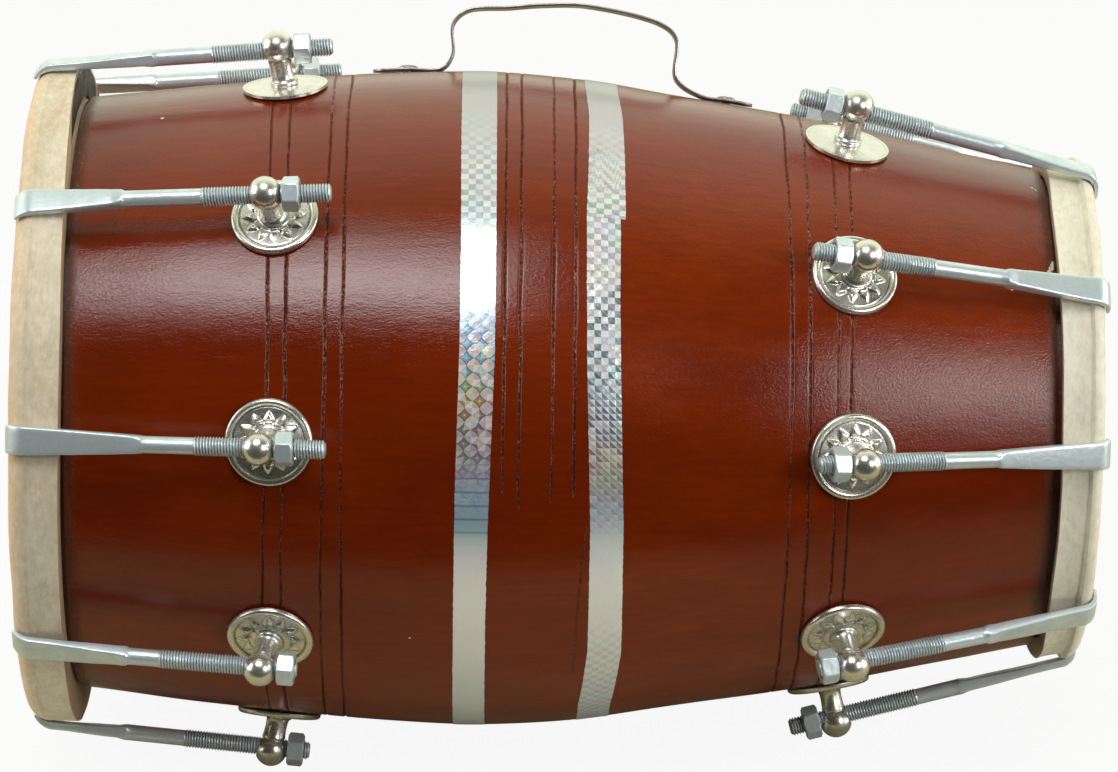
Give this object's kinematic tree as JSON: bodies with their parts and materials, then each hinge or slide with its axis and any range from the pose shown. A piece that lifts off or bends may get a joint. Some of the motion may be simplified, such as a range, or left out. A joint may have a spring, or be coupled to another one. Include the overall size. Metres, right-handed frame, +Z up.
{
  "type": "dholak",
  "caption": "Two-headed wooden barrel drum with hook bolts that tighten both rawhide heads through nuts on eye posts, and a strap handle.",
  "frame": {"origin": "middle of the base of the bounding box, on the surface that the drum lies on", "axes": "+X along the barrel towards the treble head, tilted down by about 3 degrees because the bass posts stand further out; +Z up as the drum lies on four of its posts; the strap handle leans back towards +Y by 22 degrees"},
  "size_m": [0.474, 0.3222, 0.3191],
  "materials": {
    "lacquered_wood": "glossy red-brown lacquer over turned hardwood",
    "rawhide": "dry cream rawhide, slightly mottled",
    "hoop_steel": "plain black-painted iron, hidden in the lap",
    "nickel": "warm nickel plate over turned and pressed steel",
    "zinc": "zinc plate, bluish grey",
    "dark_steel": "dull dark steel strap"
  },
  "bodies": {
    "root": {"shell": "lacquered_wood", "handle": "dark_steel", "bass_skin": "rawhide", "bass_hoop": "hoop_steel", "bass_post_1": "nickel", "bass_post_2": "nickel", "bass_post_3": "nickel", "bass_post_4": "nickel", "bass_post_5": "nickel", "bass_post_6": "nickel", "bass_post_7": "nickel", "bass_post_8": "nickel", "bass_post_9": "nickel", "treble_skin": "rawhide", "treble_hoop": "hoop_steel", "treble_post_1": "nickel", "treble_post_2": "nickel", "treble_post_3": "nickel", "treble_post_4": "nickel", "treble_post_5": "nickel", "treble_post_6": "nickel", "treble_post_7": "nickel", "treble_post_8": "nickel", "treble_post_9": "nickel"},
    "bass_hook_1": {"bass_hook_1": "zinc"},
    "bass_nut_1": {"bass_nut_1": "zinc"},
    "bass_hook_2": {"bass_hook_2": "zinc"},
    "bass_nut_2": {"bass_nut_2": "zinc"},
    "bass_hook_3": {"bass_hook_3": "zinc"},
    "bass_nut_3": {"bass_nut_3": "zinc"},
    "bass_hook_4": {"bass_hook_4": "zinc"},
    "bass_nut_4": {"bass_nut_4": "zinc"},
    "bass_hook_5": {"bass_hook_5": "zinc"},
    "bass_nut_5": {"bass_nut_5": "zinc"},
    "bass_hook_6": {"bass_hook_6": "zinc"},
    "bass_nut_6": {"bass_nut_6": "zinc"},
    "bass_hook_7": {"bass_hook_7": "zinc"},
    "bass_nut_7": {"bass_nut_7": "zinc"},
    "bass_hook_8": {"bass_hook_8": "zinc"},
    "bass_nut_8": {"bass_nut_8": "zinc"},
    "bass_hook_9": {"bass_hook_9": "zinc"},
    "bass_nut_9": {"bass_nut_9": "zinc"},
    "treble_hook_1": {"treble_hook_1": "zinc"},
    "treble_nut_1": {"treble_nut_1": "zinc"},
    "treble_hook_2": {"treble_hook_2": "zinc"},
    "treble_nut_2": {"treble_nut_2": "zinc"},
    "treble_hook_3": {"treble_hook_3": "zinc"},
    "treble_nut_3": {"treble_nut_3": "zinc"},
    "treble_hook_4": {"treble_hook_4": "zinc"},
    "treble_nut_4": {"treble_nut_4": "zinc"},
    "treble_hook_5": {"treble_hook_5": "zinc"},
    "treble_nut_5": {"treble_nut_5": "zinc"},
    "treble_hook_6": {"treble_hook_6": "zinc"},
    "treble_nut_6": {"treble_nut_6": "zinc"},
    "treble_hook_7": {"treble_hook_7": "zinc"},
    "treble_nut_7": {"treble_nut_7": "zinc"},
    "treble_hook_8": {"treble_hook_8": "zinc"},
    "treble_nut_8": {"treble_nut_8": "zinc"},
    "treble_hook_9": {"treble_hook_9": "zinc"},
    "treble_nut_9": {"treble_nut_9": "zinc"}
  },
  "joints": [
    {"name": "bass_nut_turn_1", "type": "hinge", "parent": "root", "child": "bass_nut_1", "pos_m": [-0.11755, 0.10651, 0.26741], "axis": [0.9982, 0.0597, 0.0077], "range_deg": [0, 1080]},
    {"name": "bass_hook_slide_1", "type": "slide", "parent": "root", "child": "bass_hook_1", "axis": [-0.9982, -0.0597, -0.0077], "range_m": [0, 0.00375]},
    {"name": "bass_nut_turn_2", "type": "hinge", "parent": "root", "child": "bass_nut_2", "pos_m": [-0.1152, 0.0091, 0.31071], "axis": [0.9995, 0.006, 0.0316], "range_deg": [0, 1080]},
    {"name": "bass_hook_slide_2", "type": "slide", "parent": "root", "child": "bass_hook_2", "axis": [-0.9995, -0.006, -0.0316], "range_m": [0, 0.00375]},
    {"name": "bass_nut_turn_3", "type": "hinge", "parent": "root", "child": "bass_nut_3", "pos_m": [-0.11679, -0.09339, 0.28136], "axis": [0.9986, -0.0505, 0.0154], "range_deg": [0, 1080]},
    {"name": "bass_hook_slide_3", "type": "slide", "parent": "root", "child": "bass_hook_3", "axis": [-0.9986, 0.0505, -0.0154], "range_m": [0, 0.00375]},
    {"name": "bass_nut_turn_4", "type": "hinge", "parent": "root", "child": "bass_nut_4", "pos_m": [-0.12158, -0.15301, 0.1931], "axis": [0.996, -0.0834, -0.0332], "range_deg": [0, 1080]},
    {"name": "bass_hook_slide_4", "type": "slide", "parent": "root", "child": "bass_hook_4", "axis": [-0.996, 0.0834, 0.0332], "range_m": [0, 0.00375]},
    {"name": "bass_nut_turn_5", "type": "hinge", "parent": "root", "child": "bass_nut_5", "pos_m": [-0.12719, -0.14304, 0.08967], "axis": [0.9929, -0.0779, -0.0903], "range_deg": [0, 1080]},
    {"name": "bass_hook_slide_5", "type": "slide", "parent": "root", "child": "bass_hook_5", "axis": [-0.9929, 0.0779, 0.0903], "range_m": [0, 0.00375]},
    {"name": "bass_nut_turn_6", "type": "hinge", "parent": "root", "child": "bass_nut_6", "pos_m": [-0.13156, -0.05508, 0.0092], "axis": [0.9905, -0.0294, -0.1346], "range_deg": [0, 1080]},
    {"name": "bass_hook_slide_6", "type": "slide", "parent": "root", "child": "bass_hook_6", "axis": [-0.9905, 0.0294, 0.1346], "range_m": [0, 0.00375]},
    {"name": "bass_nut_turn_7", "type": "hinge", "parent": "root", "child": "bass_nut_7", "pos_m": [-0.13156, 0.05154, 0.0092], "axis": [0.9905, 0.0294, -0.1346], "range_deg": [0, 1080]},
    {"name": "bass_hook_slide_7", "type": "slide", "parent": "root", "child": "bass_hook_7", "axis": [-0.9905, -0.0294, 0.1346], "range_m": [0, 0.00375]},
    {"name": "bass_nut_turn_8", "type": "hinge", "parent": "root", "child": "bass_nut_8", "pos_m": [-0.12798, 0.13184, 0.07529], "axis": [0.9924, 0.0737, -0.0982], "range_deg": [0, 1080]},
    {"name": "bass_hook_slide_8", "type": "slide", "parent": "root", "child": "bass_hook_8", "axis": [-0.9924, -0.0737, 0.0982], "range_m": [0, 0.00375]},
    {"name": "bass_nut_turn_9", "type": "hinge", "parent": "root", "child": "bass_nut_9", "pos_m": [-0.12245, 0.15258, 0.17711], "axis": [0.9955, 0.0851, -0.042], "range_deg": [0, 1080]},
    {"name": "bass_hook_slide_9", "type": "slide", "parent": "root", "child": "bass_hook_9", "axis": [-0.9955, -0.0851, 0.042], "range_m": [0, 0.00375]},
    {"name": "treble_nut_turn_1", "type": "hinge", "parent": "root", "child": "treble_nut_1", "pos_m": [0.13018, 0.09735, 0.23922], "axis": [-0.9565, 0.1802, 0.2293], "range_deg": [0, 1080]},
    {"name": "treble_hook_slide_1", "type": "slide", "parent": "root", "child": "treble_hook_1", "axis": [0.9565, -0.1802, -0.2293], "range_m": [0, 0.00375]},
    {"name": "treble_nut_turn_2", "type": "hinge", "parent": "root", "child": "treble_nut_2", "pos_m": [0.13243, -0.00904, 0.28054], "axis": [-0.9525, -0.0132, 0.3044], "range_deg": [0, 1080]},
    {"name": "treble_hook_slide_2", "type": "slide", "parent": "root", "child": "treble_hook_2", "axis": [0.9525, 0.0132, -0.3044], "range_m": [0, 0.00375]},
    {"name": "treble_nut_turn_3", "type": "hinge", "parent": "root", "child": "treble_nut_3", "pos_m": [0.1305, -0.09476, 0.24508], "axis": [-0.956, -0.1691, 0.2399], "range_deg": [0, 1080]},
    {"name": "treble_hook_slide_3", "type": "slide", "parent": "root", "child": "treble_hook_3", "axis": [0.956, 0.1691, -0.2399], "range_m": [0, 0.00375]},
    {"name": "treble_nut_turn_4", "type": "hinge", "parent": "root", "child": "treble_nut_4", "pos_m": [0.12647, -0.1377, 0.17081], "axis": [-0.9633, -0.2471, 0.1049], "range_deg": [0, 1080]},
    {"name": "treble_hook_slide_4", "type": "slide", "parent": "root", "child": "treble_hook_4", "axis": [0.9633, 0.2471, -0.1049], "range_m": [0, 0.00375]},
    {"name": "treble_nut_turn_5", "type": "hinge", "parent": "root", "child": "treble_nut_5", "pos_m": [0.1212, -0.12272, 0.07363], "axis": [-0.9729, -0.2199, -0.0718], "range_deg": [0, 1080]},
    {"name": "treble_hook_slide_5", "type": "slide", "parent": "root", "child": "treble_hook_5", "axis": [0.9729, 0.2199, 0.0718], "range_m": [0, 0.00375]},
    {"name": "treble_nut_turn_6", "type": "hinge", "parent": "root", "child": "treble_nut_6", "pos_m": [0.11775, -0.04471, 0.00999], "axis": [-0.9792, -0.0781, -0.1875], "range_deg": [0, 1080]},
    {"name": "treble_hook_slide_6", "type": "slide", "parent": "root", "child": "treble_hook_6", "axis": [0.9792, 0.0781, 0.1875], "range_m": [0, 0.00375]},
    {"name": "treble_nut_turn_7", "type": "hinge", "parent": "root", "child": "treble_nut_7", "pos_m": [0.11775, 0.04117, 0.00999], "axis": [-0.9792, 0.0781, -0.1875], "range_deg": [0, 1080]},
    {"name": "treble_hook_slide_7", "type": "slide", "parent": "root", "child": "treble_hook_7", "axis": [0.9792, -0.0781, 0.1875], "range_m": [0, 0.00375]},
    {"name": "treble_nut_turn_8", "type": "hinge", "parent": "root", "child": "treble_nut_8", "pos_m": [0.12081, 0.11478, 0.06639], "axis": [-0.9736, 0.2119, -0.085], "range_deg": [0, 1080]},
    {"name": "treble_hook_slide_8", "type": "slide", "parent": "root", "child": "treble_hook_8", "axis": [0.9736, -0.2119, 0.085], "range_m": [0, 0.00375]},
    {"name": "treble_nut_turn_9", "type": "hinge", "parent": "root", "child": "treble_nut_9", "pos_m": [0.12582, 0.13616, 0.15887], "axis": [-0.9645, 0.2508, 0.0832], "range_deg": [0, 1080]},
    {"name": "treble_hook_slide_9", "type": "slide", "parent": "root", "child": "treble_hook_9", "axis": [0.9645, -0.2508, -0.0832], "range_m": [0, 0.00375]}
  ],
  "couplings": [
    {"joint": "bass_nut_turn_1", "follows": "bass_hook_slide_1", "rad_per_m": 5026.5},
    {"joint": "bass_nut_turn_2", "follows": "bass_hook_slide_2", "rad_per_m": 5026.5},
    {"joint": "bass_nut_turn_3", "follows": "bass_hook_slide_3", "rad_per_m": 5026.5},
    {"joint": "bass_nut_turn_4", "follows": "bass_hook_slide_4", "rad_per_m": 5026.5},
    {"joint": "bass_nut_turn_5", "follows": "bass_hook_slide_5", "rad_per_m": 5026.5},
    {"joint": "bass_nut_turn_6", "follows": "bass_hook_slide_6", "rad_per_m": 5026.5},
    {"joint": "bass_nut_turn_7", "follows": "bass_hook_slide_7", "rad_per_m": 5026.5},
    {"joint": "bass_nut_turn_8", "follows": "bass_hook_slide_8", "rad_per_m": 5026.5},
    {"joint": "bass_nut_turn_9", "follows": "bass_hook_slide_9", "rad_per_m": 5026.5},
    {"joint": "treble_nut_turn_1", "follows": "treble_hook_slide_1", "rad_per_m": 5026.5},
    {"joint": "treble_nut_turn_2", "follows": "treble_hook_slide_2", "rad_per_m": 5026.5},
    {"joint": "treble_nut_turn_3", "follows": "treble_hook_slide_3", "rad_per_m": 5026.5},
    {"joint": "treble_nut_turn_4", "follows": "treble_hook_slide_4", "rad_per_m": 5026.5},
    {"joint": "treble_nut_turn_5", "follows": "treble_hook_slide_5", "rad_per_m": 5026.5},
    {"joint": "treble_nut_turn_6", "follows": "treble_hook_slide_6", "rad_per_m": 5026.5},
    {"joint": "treble_nut_turn_7", "follows": "treble_hook_slide_7", "rad_per_m": 5026.5},
    {"joint": "treble_nut_turn_8", "follows": "treble_hook_slide_8", "rad_per_m": 5026.5},
    {"joint": "treble_nut_turn_9", "follows": "treble_hook_slide_9", "rad_per_m": 5026.5}
  ]
}
